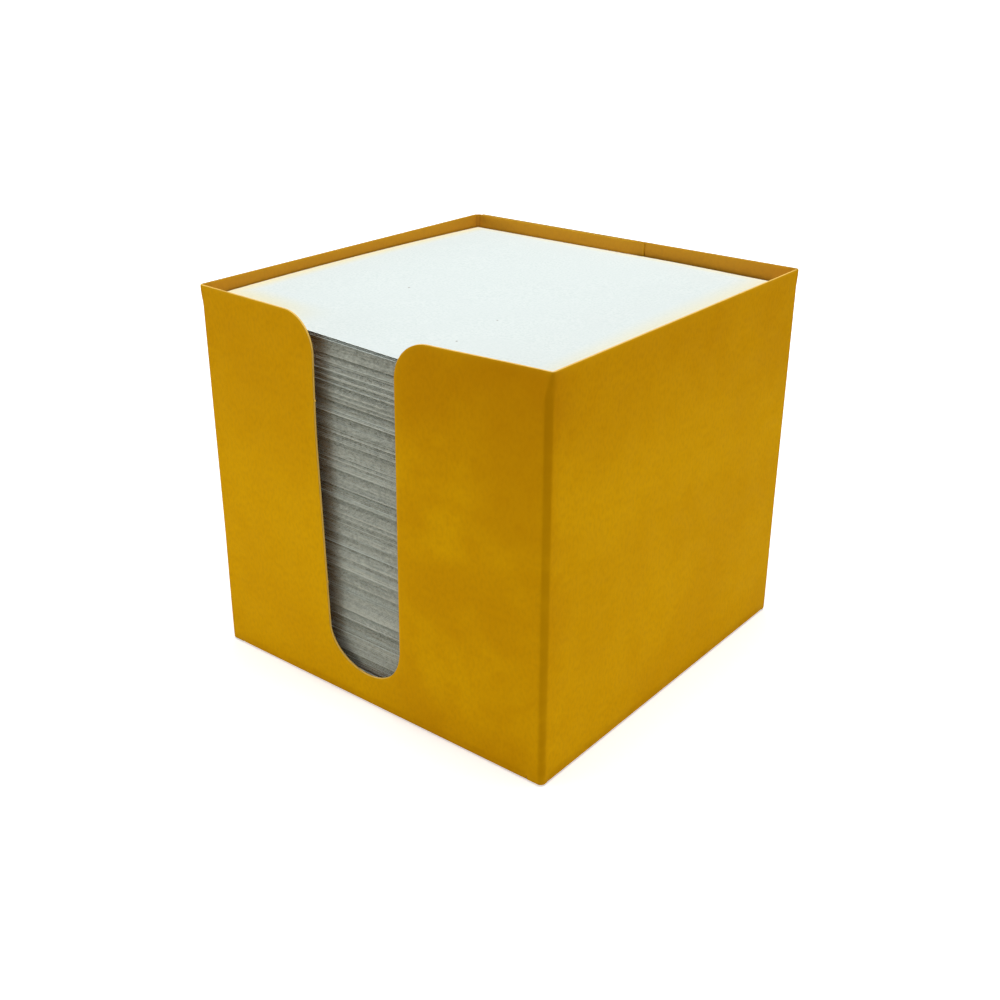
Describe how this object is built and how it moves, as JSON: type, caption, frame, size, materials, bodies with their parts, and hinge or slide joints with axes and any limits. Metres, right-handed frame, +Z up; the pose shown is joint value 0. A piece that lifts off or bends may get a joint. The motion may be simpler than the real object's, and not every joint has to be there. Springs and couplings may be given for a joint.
{
  "type": "memo cube box",
  "caption": "Open-topped cube box folded from board, with a U-shaped finger slot in front, filled with loose note sheets; the paper and its top sheets lift out.",
  "frame": {"origin": "middle of the base, on the plane of the desk", "axes": "+Z up, -Y out through the slotted front wall, +X towards the right wall"},
  "size_m": [0.092, 0.0943, 0.0858],
  "materials": {
    "board": "golden-yellow coated board, satin, softly mottled",
    "paper": "uncoated white note paper, cut edges",
    "glue": "dried dispersion glue"
  },
  "bodies": {
    "carton": {"folded_carton": "board", "seam_glue": "glue", "bottom_glue": "glue"},
    "paper_stack": {"note_packet_01": "paper", "note_packet_02": "paper", "note_packet_03": "paper", "note_packet_04": "paper", "note_packet_05": "paper", "note_packet_06": "paper", "note_packet_07": "paper", "note_packet_08": "paper", "note_packet_09": "paper", "note_packet_10": "paper", "note_packet_11": "paper", "note_packet_12": "paper", "note_packet_13": "paper", "note_packet_14": "paper", "note_packet_15": "paper", "note_packet_16": "paper", "note_packet_17": "paper", "note_packet_18": "paper", "note_packet_19": "paper", "note_packet_20": "paper", "note_packet_21": "paper", "note_packet_22": "paper", "note_packet_23": "paper", "note_packet_24": "paper", "note_packet_25": "paper", "note_packet_26": "paper", "note_packet_27": "paper", "note_packet_28": "paper", "note_packet_29": "paper", "note_packet_30": "paper", "note_packet_31": "paper", "note_packet_32": "paper", "note_packet_33": "paper", "note_packet_34": "paper", "note_packet_35": "paper", "note_packet_36": "paper"},
    "loose_sheet_1": {"loose_sheet_1": "paper"},
    "loose_sheet_2": {"loose_sheet_2": "paper"},
    "loose_sheet_3": {"loose_sheet_3": "paper"},
    "loose_sheet_4": {"loose_sheet_4": "paper"},
    "top_sheet": {"top_sheet": "paper"}
  },
  "joints": [
    {"name": "stack_lift", "type": "slide", "parent": "carton", "child": "paper_stack", "axis": [0, 0, 1], "range_m": [0, 0.095]},
    {"name": "loose_sheet_1_lift", "type": "slide", "parent": "paper_stack", "child": "loose_sheet_1", "axis": [0, 0, 1], "range_m": [0, 0.03]},
    {"name": "loose_sheet_2_lift", "type": "slide", "parent": "loose_sheet_1", "child": "loose_sheet_2", "axis": [0, 0, 1], "range_m": [0, 0.03]},
    {"name": "loose_sheet_3_lift", "type": "slide", "parent": "loose_sheet_2", "child": "loose_sheet_3", "axis": [0, 0, 1], "range_m": [0, 0.03]},
    {"name": "loose_sheet_4_lift", "type": "slide", "parent": "loose_sheet_3", "child": "loose_sheet_4", "axis": [0, 0, 1], "range_m": [0, 0.03]},
    {"name": "top_sheet_lift", "type": "slide", "parent": "loose_sheet_4", "child": "top_sheet", "axis": [0, 0, 1], "range_m": [0, 0.03]}
  ]
}
